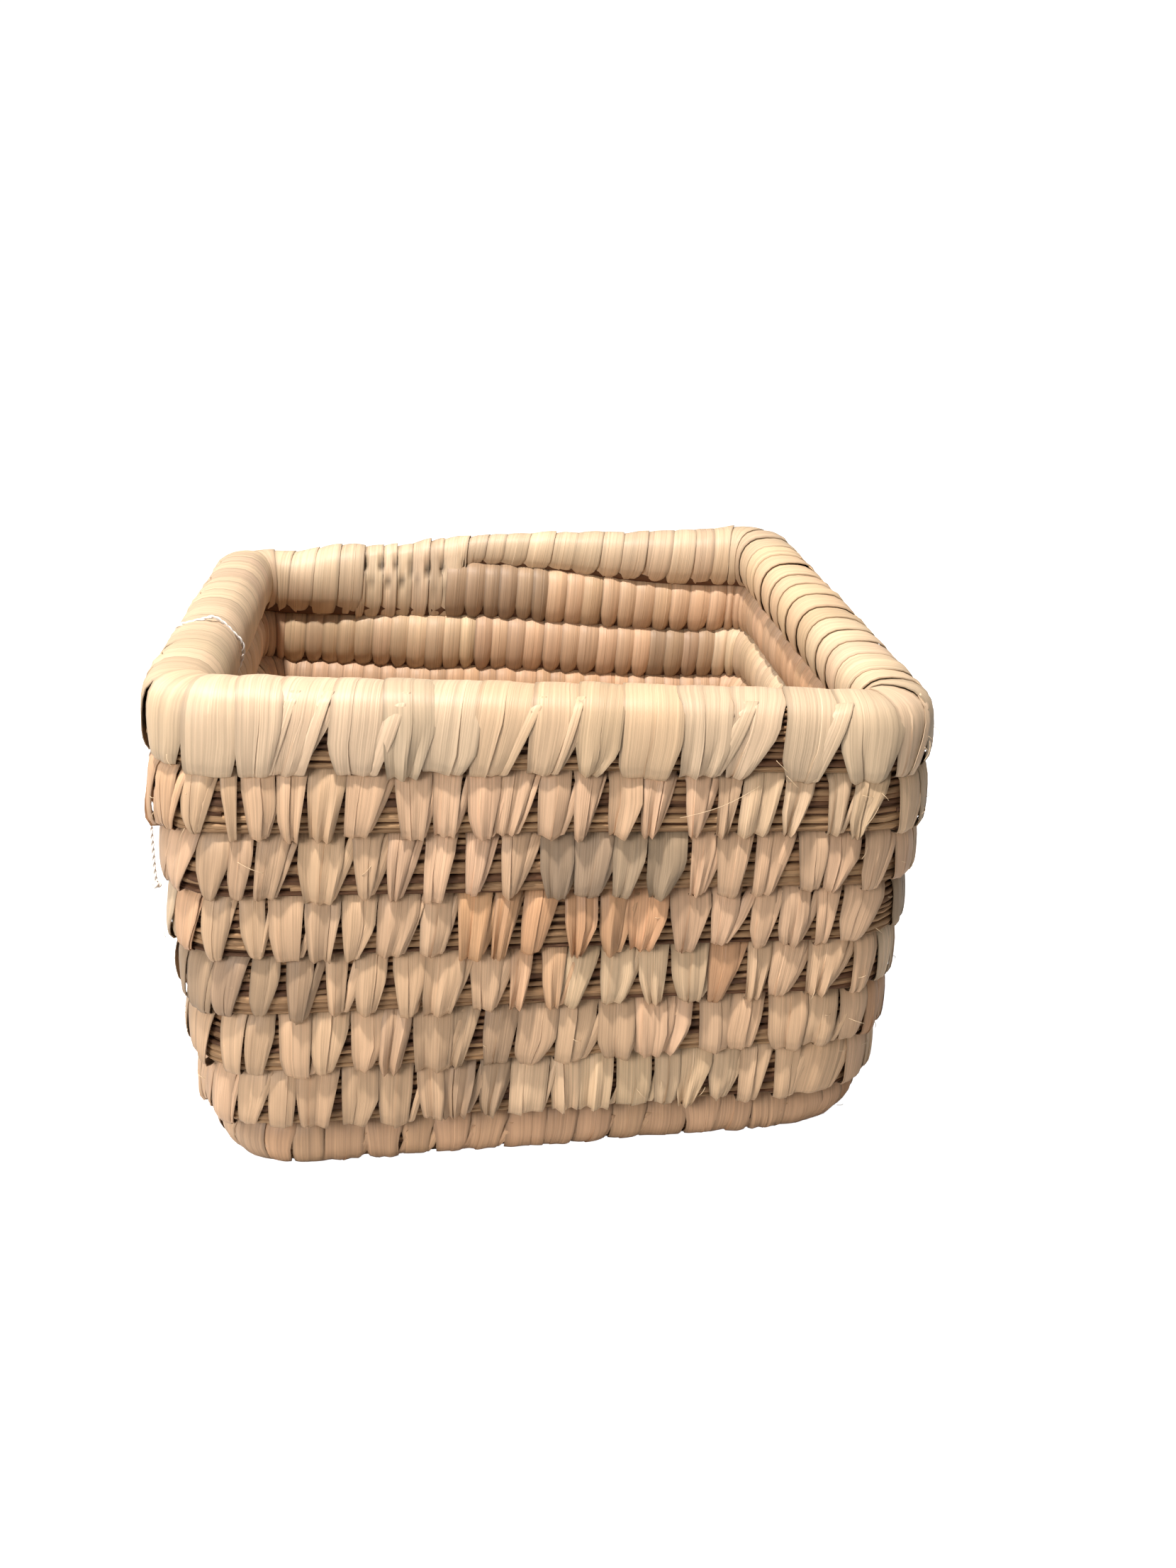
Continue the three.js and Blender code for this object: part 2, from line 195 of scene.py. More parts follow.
def tube_rings(line, radius, sides):
    """Rings of points round a line in space, without needless turning."""
    way = directions_along(line)
    any_other_way = (0.31, 0.9, 0.2)
    side = np.cross(way[0], any_other_way)
    rings = []
    for point, onward in zip(line, way):
        side = side - onward * (side @ onward)
        side /= np.linalg.norm(side)
        other = np.cross(onward, side)
        angle = np.arange(sides) / sides * 2 * math.pi
        rings.append(point + radius * (np.cos(angle)[:, None] * side + np.sin(angle)[:, None] * other))
    return np.array(rings)


def linear(red, green, blue):
    """A colour as a screen shows it, from 0 to 255, turned into light."""
    share = np.array((red, green, blue)) / 255
    return np.where(share < 0.04045, share / 12.92, ((share + 0.055) / 1.055) ** 2.4)


def add_node(tree, kind, **settings):
    """A new node of a shader tree, with its own settings and values for its named sockets."""
    node = tree.nodes.new(kind)
    for name, value in settings.items():
        if hasattr(node, name):
            setattr(node, name, value)
        else:
            node.inputs[name.replace("_", " ")].default_value = value
    return node


def link(source, output, target, socket):
    source.id_data.links.new(source.outputs[output], target.inputs[socket])


def bump(tree, shader, height, strength, distance):
    """Fine relief on a material, from a value that changes over it."""
    node = add_node(tree, "ShaderNodeBump", Strength=strength, Distance=distance)
    tree.links.new(height, node.inputs["Height"])
    link(node, "Normal", shader, "Normal")


def new_material(name, roughness, specular):
    """A material, its tree and its Principled shader."""
    material = bpy.data.materials.new(name)
    material.use_nodes = True
    shader = material.node_tree.nodes["Principled BSDF"]
    shader.inputs["Roughness"].default_value = roughness
    shader.inputs["Specular IOR Level"].default_value = specular
    return material, material.node_tree, shader


cotton, cotton_tree, cotton_shader = new_material("cotton", roughness=0.85, specular=0.2)
cotton_fuzz = add_node(cotton_tree, "ShaderNodeTexNoise", Scale=2600.0, Detail=3.0)
cotton_place = add_node(cotton_tree, "ShaderNodeTexCoord")
cotton_tone = add_node(cotton_tree, "ShaderNodeValToRGB")
cotton_tone.color_ramp.elements[0].color = (*linear(214, 206, 198), 1)
cotton_tone.color_ramp.elements[1].color = (*linear(252, 249, 244), 1)
link(cotton_place, "Object", cotton_fuzz, "Vector")
link(cotton_fuzz, "Fac", cotton_tone, "Fac")
link(cotton_tone, "Color", cotton_shader, "Base Color")
bump(cotton_tree, cotton_shader, cotton_fuzz.outputs["Fac"], strength=0.5, distance=0.0001)

string_line = smooth_line(string_route, per_gap=12)
strands = []
for strand in range(2):
    turning = (distances_along(string_line) / strand_twist + strand / 2) * 2 * math.pi
    compass = tube_rings(string_line, string_diameter / 2 - strand_radius, sides=4)
    sideways = compass[:, 0] - string_line
    upwards = compass[:, 1] - string_line
    strand_line = string_line + np.cos(turning)[:, None] * sideways + np.sin(turning)[:, None] * upwards
    strands.append(capped_tube(tube_rings(strand_line, strand_radius, sides=6)))
string = mesh_object("string", *joined(strands), cotton)

knot_turn = np.linspace(0, 2 * math.pi, 60)
knot_line = np.stack([
    np.sin(knot_turn) + 2 * np.sin(2 * knot_turn),
    np.cos(knot_turn) - 2 * np.cos(2 * knot_turn),
    -1.3 * np.sin(3 * knot_turn),
], -1) / 3 * (knot_radius - strand_radius)
knot_line = knot_line + string_line[-1] + (0, 0, knot_above_end)
knot_tube = capped_tube(tube_rings(knot_line, knot_strand_radius, sides=8))
knot = mesh_object("string_knot", *knot_tube, cotton)
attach(string, "root")
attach(knot, "root")
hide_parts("string")


# The coil. One long coil of stalks runs out from the middle of the base and then up the wall, square
# with round corners. A turn has nine legs: back, corner, left side, corner, front and so on, and each
# turn climbs onto the one below along the back and the left side. These sizes are the solids' own.
rim_thick_mm = 25
rim_high_mm = 25.6
rim_grows_legs = 0.8
wall_turns = 8
row_pitch_mm = 21.3
row_thick_mm = 18.5
wall_lean = 0.064
tuck_depth_mm = 3.8
tuck_height_mm = 38
rim_corner_mm = 15.5
foot_corner_mm = 24
seam_rise = 0.09
right_fall = 0.058
back_rise = 0.055
corner_rise = 0.118
right_lean = 0.033
base_turns = 5
base_middle_turns = 0.56
base_corner_mm = 12
base_lag = 0.15
base_clearance_mm = 0.8
nesting_mm = 1.25
floor_wear_mm = 0.5
seam_share = 0.35
tail_start = 7.8
tail_end = 9.5
tail_size_mm = 5
legs = 9
row_high_mm = row_pitch_mm + nesting_mm
base_high_mm = row_pitch_mm - nesting_mm
floor_level_mm = row_high_mm / 2 - floor_wear_mm
rim_level_mm = floor_level_mm + (wall_turns - 1.5) * row_pitch_mm + (rim_high_mm - nesting_mm) / 2
coil_start = (1 - base_turns) * legs + 4  # the front of the innermost turn
coil_end = wall_turns * legs + tail_end
# The scene's own sizes: the leaf's hold at the seam, and how softly the floor presses
coil_samples = 9000
seam_reach = 0.16
seam_fades_legs = 0.06
seam_holds_below_mm = 1.6
slope_high_mm = 4.2
slope_start = 0.5
slope_legs = 0.45
floor_press_mm = 1.0


def smooth(share):
    share = np.clip(share, 0, 1)
    return share * share * (3 - 2 * share)


def smooth_step(value, low, high):
    return smooth((value - low) / (high - low))


def between(low, high, share):
    return low + (high - low) * share


def outer_half(level):
    """Half the wall's outer width at a height."""
    drop = np.maximum(rim_level_mm - level, 0)
    tuck = 1 - np.clip((level - floor_level_mm) / tuck_height_mm, 0, 1)
    return rim_width_mm / 2 - wall_lean * drop - tuck_depth_mm * tuck * tuck


foot_mm = float(outer_half(floor_level_mm)) - row_thick_mm / 2
base_pitch_mm = foot_mm / (base_turns + base_middle_turns)


def turn_and_leg(place):
    """Places along the coil count legs: turn 1 is the wall's bottom turn, and turn 8 the rim."""
    turn = np.minimum(np.floor(place / legs), wall_turns)
    return turn, place - turn * legs


def square_point(leg, half, radius):
    """Where a leg of a turn is, seen from above, on a square with round corners."""
    whole = np.minimum(np.floor(leg), legs - 1)
    share = leg - whole
    facing = (np.floor(whole / 2) + 1) * math.pi / 2
    out = np.stack([np.cos(facing), np.sin(facing)], -1)
    onward = np.stack([-out[..., 1], out[..., 0]], -1)
    run = (half - radius)[..., None]
    turned = facing + share * math.pi / 2
    corner = (out + onward) * run + np.stack([np.cos(turned), np.sin(turned)], -1) * radius[..., None]
    start = np.where(whole == 0, seam_share, -1.0)[..., None] * run
    end = np.where(whole == legs - 1, seam_share, 1.0)[..., None] * run
    straight = out * half[..., None] + onward * between(start, end, share[..., None])
    return np.where((whole % 2 == 1)[..., None], corner, straight)


def climb(turn, leg):
    """From 0 at the seam to 1 at the end of the left side."""
    end = 3 + base_lag * np.maximum(1 - turn, 0)
    return np.sin(np.clip(leg / end, 0, 1) * math.pi / 2)


def coil_size(place):
    turn, leg = turn_and_leg(place)
    grown = smooth(leg / rim_grows_legs)
    thinned = smooth_step(leg, tail_start, tail_end)
    rim_thick = between(between(row_thick_mm, rim_thick_mm, grown), tail_size_mm, thinned)
    rim_high = between(between(row_high_mm, rim_high_mm, grown), tail_size_mm, thinned)
    thick = np.where(turn < wall_turns, row_thick_mm, rim_thick)
    high = np.where(turn < wall_turns, row_high_mm, rim_high)
    thick = np.where(turn < 1, base_pitch_mm - base_clearance_mm, thick)
    return thick, np.where(turn < 1, base_high_mm, high)


def coil_seat(place):
    """The thickness that sets where a wall turn's middle is. The rim's thin end comes over the middle
    of the turn below."""
    turn, leg = turn_and_leg(place)
    grown = smooth(np.where(leg > legs, leg - legs, leg) / rim_grows_legs)
    start = between(row_thick_mm, rim_thick_mm, grown)
    end = between(rim_thick_mm, row_thick_mm, smooth_step(leg, tail_start, legs))
    rim_seat = np.where((leg > tail_start) & (leg <= legs), end, start)
    return np.where(turn < wall_turns, row_thick_mm, rim_seat)


def coil_level(place):
    """Height of the coil's middle."""
    turn, leg = turn_and_leg(place)
    wall = floor_level_mm + (turn - 2 + climb(turn, leg)) * row_pitch_mm
    level = np.where(turn < 1, base_high_mm / 2 - floor_wear_mm, np.where(turn < 2, floor_level_mm, wall))
    rim = turn >= wall_turns
    if rim.any():
        below = place[rim] - legs
        level[rim] = coil_level(below) + (coil_size(below)[1] + coil_size(place[rim])[1]) / 2 - nesting_mm
    return level


def coil_plan(place):
    """The coil's middle, seen from above."""
    turn, leg = turn_and_leg(place)
    leg = np.where(leg > legs, leg - legs, leg)
    level = coil_level(place)
    share = np.clip((level - floor_level_mm) / (rim_level_mm - floor_level_mm), 0, 1)
    wall_half = outer_half(level) - coil_seat(place) / 2
    base_half = foot_mm - (1 - turn + np.cos(np.arcsin(climb(turn, leg)))) * base_pitch_mm
    half = np.where(turn > 1, wall_half, base_half)
    wall_radius = between(foot_corner_mm, rim_corner_mm, share)
    base_radius = np.minimum(base_half, between(base_corner_mm, foot_corner_mm, base_half / foot_mm))
    return square_point(leg, half, np.where(turn > 1, wall_radius, base_radius))


def near_seam(leg):
    """From 1 at the seam to 0 at the front and the right side."""
    leg = np.where(leg > legs, leg - legs, leg)
    return np.where(leg < 4, 1 - climb(np.ones_like(leg), leg), smooth(leg - legs + 1))


def skewed(x, y, z, seam):
    """Sets points of the even basket where they are in the skewed one, which leans to the right and
    whose rows are taller at the seam, the back, the front left and the back right. The floor presses
    flat what would stand below it."""
    right = x / rim_width_mm
    back = y / rim_width_mm
    tall = 1 + seam_rise * seam - right_fall * right + back_rise * back + corner_rise * right * back
    leaning = right_lean * (z - rim_level_mm)
    pressed = floor_press_mm * np.logaddexp(0, z * tall / floor_press_mm)
    return np.stack([x + leaning, y, pressed], -1) / 1000


def facing_outside(place):
    """How far the side with the tips is turned, from outwards on the wall to downwards on the base."""
    turn, leg = turn_and_leg(place)
    ends = np.where(turn < 1, 90, np.where(turn < 2, 45, 0))
    starts = np.where(turn < 2, 90, np.where(turn < 3, 45, 0))
    return np.radians(between(starts, ends, climb(turn, leg)))


def wrapped_size(place):
    """The height of the middle, thickness and height of what a stitch goes round. At the seam one
    stitch holds the rim's thin end and the coil below it, and the next ones slope down from it. Also
    how far both are held, and where the joint between them is, from -1 at the bottom to 1."""
    turn, leg = turn_and_leg(place)
    level = coil_level(place)
    thick, high = coil_size(place)
    rim = turn >= wall_turns
    below = np.where(rim, place - legs, place)
    bottom = coil_level(below) - coil_size(below)[1] / 2 - seam_holds_below_mm
    both = np.where(rim, smooth((leg - legs + seam_reach) / seam_fades_legs), 0)
    slope = slope_high_mm * (1 - smooth((leg - slope_start) / slope_legs))
    top = level + high / 2 + np.where(rim, slope, 0)
    low = between(level - high / 2, bottom, both)
    joint = (level - high / 2 - (top + low) / 2) / (top - low) * 2
    return (top + low) / 2, between(thick, coil_size(below)[0], both), top - low, both, joint


coil_place = np.linspace(coil_start, coil_end, coil_samples)
# The first samples lie on one point, where the coil has no direction yet
coil_moves = np.linalg.norm(np.gradient(coil_plan(coil_place), axis=0), axis=1) > 1e-6
coil_place = coil_place[coil_moves]
coil_xy = coil_plan(coil_place)
coil_onward = directions_along(coil_xy)
wrap_level, wrap_thick, wrap_high, both_held, joint = wrapped_size(coil_place)

# The coil is fuller in the corners of the base and the first row and where a turn moves outwards, so
# that no light comes through between two turns.
base_corner_fuller = 0.44
last_base_corner_fuller = 0.6
first_row_corner_fuller = 0.35
first_corner_share = 1.7
outward_fuller = 0.2
outward_start = 0.7
outward_legs = 2.5
coil_leg = coil_place % legs
on_base = coil_place < legs
on_first_row = (coil_place >= legs) & (coil_place < 2 * legs)
in_corner = np.where(np.floor(coil_leg) % 2 == 1, np.sin(coil_place % 1 * math.pi), 0)
in_corner *= np.where(np.floor(coil_leg) == 1, first_corner_share, 1)
outwards = np.clip(np.sin((coil_leg - outward_start) / outward_legs * math.pi), 0, 1)
outwards *= on_base & (coil_leg < outward_start + outward_legs)
corner_fuller = np.where(on_first_row & (coil_leg < 2), first_row_corner_fuller, 0)
corner_fuller = np.where(on_base, last_base_corner_fuller, corner_fuller)
corner_fuller = np.where(coil_place < 0, base_corner_fuller, corner_fuller)
fuller = 1 + in_corner * corner_fuller + outward_fuller * outwards
coil = {
    "distance": distances_along(coil_xy),
    "x": coil_xy[:, 0],
    "y": coil_xy[:, 1],
    "out_x": coil_onward[:, 1],
    "out_y": -coil_onward[:, 0],
    "level": coil_level(coil_place),
    "half_thick": coil_size(coil_place)[0] / 2 * fuller,
    "half_high": coil_size(coil_place)[1] / 2,
    "wrapped_level": wrap_level,
    "wrapped_half_thick": wrap_thick / 2 * fuller,
    "wrapped_half_high": wrap_high / 2,
    "both_held": both_held,
    "joint": joint,
    "near_seam": near_seam(turn_and_leg(coil_place)[1]),
    "turned": facing_outside(coil_place),
}


def distance_at(place):
    return float(np.interp(place, coil_place, coil["distance"]))


def place_at(distance):
    return np.interp(distance, coil["distance"], coil_place)


def coil_value(name, distance):
    return np.interp(distance, coil["distance"], coil[name])


# The leaf's way round the coil, in half thicknesses out and half heights towards the newer turn. It
# starts buried in the turn below, comes out as a tip, goes up the outside, over the top and down the
# inside, and ends between the two turns. It counts 0 at its start, 1 on top and 2 at its end.
drop_reach = 0.4  # the count at which a moved tip is back on the way
leaf_way = smooth_line([
    (0.60, -1.17),
    (0.86, -1.16),
    (0.97, -0.98),
    (1.0, -0.68),
    (1.01, -0.30),
    (1.0, 0.10),
    (0.94, 0.46),
    (0.75, 0.76),
    (0.42, 0.94),
    (0.0, 0.99),
    (-0.45, 0.94),
    (-0.80, 0.72),
    (-1.0, 0.34),
    (-1.03, -0.10),
    (-0.95, -0.52),
    (-0.76, -0.86),
    (-0.44, -1.06),
    (-0.1, -1.1),
], per_gap=12)
leaf_way_top = int(np.argmax(leaf_way[:, 1]))
leaf_way_length = distances_along(leaf_way)
length_to_top = leaf_way_length[leaf_way_top]
leaf_way_count = np.where(
    np.arange(len(leaf_way)) < leaf_way_top,
    leaf_way_length / length_to_top,
    1 + (leaf_way_length - length_to_top) / (leaf_way_length[-1] - length_to_top),
)
leaf_way_onward = directions_along(leaf_way)


def on_coil(distance, way, lift, tip_drop=0.0, size=""):
    """Points in metres at a distance along the coil and a count along the leaf's way, lifted off it
    by millimetres. tip_drop moves the tips on towards the turn below, in half heights. size tells the
    sizes that are used: the coil's own, or "wrapped_" for what a stitch goes round."""
    out = np.interp(way, leaf_way_count, leaf_way[:, 0])
    newer = np.interp(way, leaf_way_count, leaf_way[:, 1]) - tip_drop * (1 - smooth(way / drop_reach))
    away_out = np.interp(way, leaf_way_count, leaf_way_onward[:, 1])
    away_newer = -np.interp(way, leaf_way_count, leaf_way_onward[:, 0])
    cos = np.cos(coil_value("turned", distance))
    sin = np.sin(coil_value("turned", distance))
    thick = coil_value(size + "half_thick", distance)
    high = coil_value(size + "half_high", distance)
    aside = (out * cos + newer * sin) * thick + (away_out * cos + away_newer * sin) * lift
    rise = (newer * cos - out * sin) * high + (away_newer * cos - away_out * sin) * lift
    x = coil_value("x", distance) + coil_value("out_x", distance) * aside
    y = coil_value("y", distance) + coil_value("out_y", distance) * aside
    return skewed(x, y, coil_value(size + "level", distance) + rise, coil_value("near_seam", distance))


# The stalks. Each turn's bundle holds thin dry stalks side by side, brown and split lengthwise here
# and there. They show between the stitches on the outside, and a plain core fills the bundle.
stalk_pitch_mm = 2.05
stalk_radius_mm = 1.12
stalk_sides = 6
stalk_step_mm = 7
stalk_depth_mm = 0.45
rim_stalk_depth_mm = 1.25
shortest_stalk_mm = 140
longest_stalk_mm = 420
stalk_overlap_mm = 12
lowest_stalk_way = 0.08
highest_stalk_way = 0.98
stalk_room = 0.86
stalk_squeeze = 1.05
stalk_grain_offset = 0.013
thick_stalks = 3
core_depth_mm = 1.8
core_inside_depth_mm = 0.2
core_step_mm = 6.0
core_sides = 18
stalk_brown = linear(136, 100, 69)
stalk_pale = linear(176, 139, 101)
stalk_dark = linear(80, 53, 34)

grain = bpy.data.node_groups.new("long_grain", "ShaderNodeTree")
grain.interface.new_socket("Lines per metre", in_out="INPUT", socket_type="NodeSocketFloat")
grain.interface.new_socket("Stretch", in_out="INPUT", socket_type="NodeSocketFloat")
grain.interface.new_socket("Lines", in_out="OUTPUT", socket_type="NodeSocketFloat")
grain_in = add_node(grain, "NodeGroupInput")
grain_out = add_node(grain, "NodeGroupOutput")
grain_map = add_node(grain, "ShaderNodeUVMap", uv_map="strip")
grain_parts = add_node(grain, "ShaderNodeSeparateXYZ")
grain_across = add_node(grain, "ShaderNodeMath", operation="MULTIPLY")
grain_length = add_node(grain, "ShaderNodeMath", operation="MULTIPLY")
grain_slow = add_node(grain, "ShaderNodeMath", operation="DIVIDE")
grain_joined = add_node(grain, "ShaderNodeCombineXYZ")
grain_noise = add_node(grain, "ShaderNodeTexNoise", noise_dimensions="2D", Scale=1.0, Detail=2.5)
link(grain_map, "UV", grain_parts, "Vector")
link(grain_parts, "X", grain_across, 0)
link(grain_in, "Lines per metre", grain_across, 1)
link(grain_parts, "Y", grain_length, 0)
link(grain_in, "Lines per metre", grain_length, 1)
link(grain_length, "Value", grain_slow, 0)
link(grain_in, "Stretch", grain_slow, 1)
link(grain_across, "Value", grain_joined, "X")
link(grain_slow, "Value", grain_joined, "Y")
link(grain_joined, "Vector", grain_noise, "Vector")
link(grain_noise, "Fac", grain_out, "Lines")


def grain_of(tree, lines_per_metre, stretch):
    node = add_node(tree, "ShaderNodeGroup", node_tree=grain)
    node.inputs["Lines per metre"].default_value = lines_per_metre
    node.inputs["Stretch"].default_value = stretch
    return node.outputs["Lines"]


def ranged(tree, source, low, high, from_low=0.25, from_high=0.75):
    """A value that runs from low to high while the source runs between the other two."""
    node = add_node(tree, "ShaderNodeMapRange", From_Min=from_low, From_Max=from_high)
    node.inputs["To Min"].default_value = low
    node.inputs["To Max"].default_value = high
    tree.links.new(source, node.inputs["Value"])
    return node.outputs["Result"]


def times(tree, colour, share):
    """A colour made darker or lighter by a share that changes over the surface."""
    node = add_node(tree, "ShaderNodeVectorMath", operation="SCALE")
    tree.links.new(colour, node.inputs[0])
    tree.links.new(share, node.inputs["Scale"])
    return node.outputs["Vector"]


stalk_skin, stalk_tree, stalk_shader = new_material("dry_stalk", roughness=0.7, specular=0.3)
stalk_tint = add_node(stalk_tree, "ShaderNodeAttribute", attribute_name="tint")
stalk_fine = grain_of(stalk_tree, 2600.0, 30.0)
stalk_broad = grain_of(stalk_tree, 600.0, 40.0)
stalk_colour = times(stalk_tree, stalk_tint.outputs["Color"], ranged(stalk_tree, stalk_fine, 0.72, 1.2))
stalk_colour = times(stalk_tree, stalk_colour, ranged(stalk_tree, stalk_broad, 0.75, 1.2))
stalk_tree.links.new(stalk_colour, stalk_shader.inputs["Base Color"])
bump(stalk_tree, stalk_shader, stalk_fine, strength=0.7, distance=0.00025)


def stalks_of(name, first_place, last_place, depth_mm, seed):
    """One turn's bundle: a core, and round its outside the stalks, each of a length of its own."""
    dice = np.random.default_rng(seed)
    first = distance_at(first_place)
    last = distance_at(last_place)
    ring = np.linspace(0.1, 1.95, core_sides)
    core_line = np.arange(first, last, core_step_mm)
    core_depth = between(depth_mm + core_depth_mm, core_inside_depth_mm, smooth((ring - 1.55) / 0.25))
    core = capped_tube(on_coil(core_line[:, None], ring[None, :], -core_depth[None, :]))
    tubes = [core]
    # The core is about as dark as the darkest stalks: painted shade in the gaps between them
    tints = [np.tile(stalk_dark * 1.3, (len(core[0]), 1))]
    uvs = [np.zeros((len(core[0]), 2))]
    way_length = length_to_top * float(coil_value("half_thick", (first + last) / 2))
    lanes = int(round(stalk_room * way_length / stalk_pitch_mm))
    angle = np.arange(stalk_sides) / stalk_sides * 2 * math.pi
    for lane in range(lanes):
        low_lane = lane < thick_stalks
        lane_way = between(lowest_stalk_way, highest_stalk_way, (lane + 0.5) / lanes)
        start = first - dice.uniform(0, 150)
        while start < last:
            end = start + dice.uniform(shortest_stalk_mm, longest_stalk_mm)
            line = np.arange(max(start, first), min(end, last), stalk_step_mm)
            start = end - stalk_overlap_mm
            if len(line) < 3:
                continue
            wander = np.cumsum(dice.normal(0, 0.0035, len(line)))
            way = lane_way + dice.normal(0, 0.012) + wander - wander.mean()
            radius = stalk_radius_mm * dice.uniform(0.6, 1.2) * (1.2 if low_lane else 1)
            depth = depth_mm + radius + dice.uniform(0, 0.5)
            flat = dice.uniform(0.7, 1.0)
            per_mm = 1 / (way_length * stalk_squeeze)
            ways = way[:, None] + np.cos(angle) * radius * per_mm
            lifts = np.sin(angle) * radius * flat - depth * np.ones_like(ways)
            tubes.append(capped_tube(on_coil(line[:, None], ways, lifts)))
            pale_share = dice.uniform(0.5, 1.1) if low_lane else dice.uniform(0, 0.8)
            brown = between(stalk_brown, stalk_pale, pale_share)
            tint = brown if dice.random() < 0.78 else stalk_dark * 1.5
            rows = len(line) + 2
            tints.append(np.tile(tint * dice.uniform(0.8, 1.1), (rows * stalk_sides, 1)))
            across = np.tile(angle * radius, rows) / 1000 + lane * stalk_grain_offset
            along = np.repeat(np.r_[line[0], line, line[-1]], stalk_sides) / 1000
            uvs.append(np.stack([across, along], -1))
    return mesh_object(name, *joined(tubes), stalk_skin, tint=np.vstack(tints), uv=np.vstack(uvs))


turn_gap = 0.006
bundle_names = ["base"] + [f"row_{turn}" for turn in range(1, wall_turns)] + ["rim"]
bundle_places = [(coil_start, legs)]
bundle_places += [(turn * legs, (turn + 1) * legs) for turn in range(1, wall_turns)]
bundle_places += [(wall_turns * legs, coil_end)]
for seed, (name, (first_place, last_place)) in enumerate(zip(bundle_names, bundle_places)):
    depth_mm = rim_stalk_depth_mm if name == "rim" else stalk_depth_mm
    bundle = stalks_of(name + "_stalks", first_place, last_place - turn_gap, depth_mm, seed)
    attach(bundle, "root")
    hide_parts(name + "_bundle")


# The leaf stitches. Strips of palm leaf as wide as a finger are wound round each turn. On the outside
# each stitch is a petal that slants and narrows to the tip where it goes into the turn below, and a
# narrow fold of it goes back up to the right. Strips that are joined in change the colour in runs.
leaf_thick_mm = 0.32
leaf_way_mm = 26
leaf_grain_offset = 0.037
leaf_sharp_angle = math.radians(13)
wall_pitch_mm = 11.9
base_stitch_mm = 12.5
rim_stitch_mm = 15.2
back_share = 0.66
corner_share = 0.68
seam_pitch_share = 0.45
corner_relief = 0.3
held_lift_mm = 0.6
sink_depth_mm = 1.6
hole_depth_mm = 2.2
leaf_colours = {
    "pale": linear(201, 174, 143),
    "cream": linear(203, 175, 143),
    "straw": linear(204, 173, 138),
    "tan": linear(198, 163, 129),
    "rose": linear(202, 165, 132),
    "peach": linear(201, 160, 124),
    "orange": linear(196, 151, 112),
    "olive": linear(168, 139, 110),
    "grey": linear(165, 140, 113),
}
front_first_leg = 3.6
front_last_leg = 5.4
# Runs seen on the front: each turn's colours from left to right, with the millimetre right of the
# middle at which each ends
front_runs = {
    8: [(-31, "pale"), (34, "straw"), (140, "pale")],
    7: [(-60, "tan"), (60, "rose"), (140, "straw")],
    6: [(-60, "tan"), (-10, "rose"), (38, "grey"), (140, "rose")],
    5: [(-38, "tan"), (34, "orange"), (140, "rose")],
    4: [(-78, "olive"), (-16, "tan"), (6, "peach"), (48, "straw"), (56, "orange"), (140, "tan")],
    3: [(-42, "tan"), (-11, "olive"), (28, "tan"), (49, "rose"), (140, "tan")],
    2: [(-42, "tan"), (-13, "olive"), (60, "straw"), (140, "tan")],
    1: [(140, "peach")],
}


def stitch_colours(distance, turn, dice):
    """A colour for each stitch: a run's own where the front shows it, or a run of four to eight."""
    names = list(leaf_colours)
    weights = {"cream": 3, "straw": 5, "tan": 6, "rose": 5, "peach": 4, "orange": 1.5, "olive": 1, "grey": 1}
    if turn >= wall_turns:
        weights = {"pale": 9, "cream": 3, "straw": 2}
    chance = np.array([weights.get(name, 0) for name in names])
    colours = []
    left_in_run = 0
    for at in distance:
        if left_in_run <= 0:
            run = names[dice.choice(len(names), p=chance / chance.sum())]
            left_in_run = dice.integers(4, 9)
        left_in_run -= 1
        name = run
        if front_first_leg < float(turn_and_leg(place_at(at))[1]) < front_last_leg:
            x = float(coil_value("x", at))
            name = next((colour for run_end, colour in front_runs.get(turn, []) if x < run_end), run)
        colours.append(leaf_colours[name] * dice.uniform(0.86, 1.08) * (1 + dice.normal(0, 0.008, 3)))
    return np.array(colours)


leaf_rows = np.array([
    0, 0.05, 0.10, 0.15, 0.21, 0.28, 0.36, 0.45, 0.55, 0.65, 0.75, 0.85, 0.94,
    1.04, 1.14, 1.22, 1.30, 1.38, 1.46, 1.54, 1.63, 1.73, 1.83, 1.92, 2.0,
])


def leaf_shell_faces(rows, columns):
    """Faces of one thin leaf whose outer points come first and inner points after them."""
    size = rows * columns
    outer = grid_faces(rows, columns)
    inner = outer[:, ::-1] + size
    edge = np.concatenate([
        np.arange(columns),
        np.arange(1, rows) * columns + columns - 1,
        (rows - 1) * columns + np.arange(columns - 2, -1, -1),
        np.arange(rows - 2, 0, -1) * columns,
    ])
    onward = np.roll(edge, -1)
    rim = np.stack([onward, edge, edge + size, onward + size], -1)
    return np.vstack([outer, inner, rim])


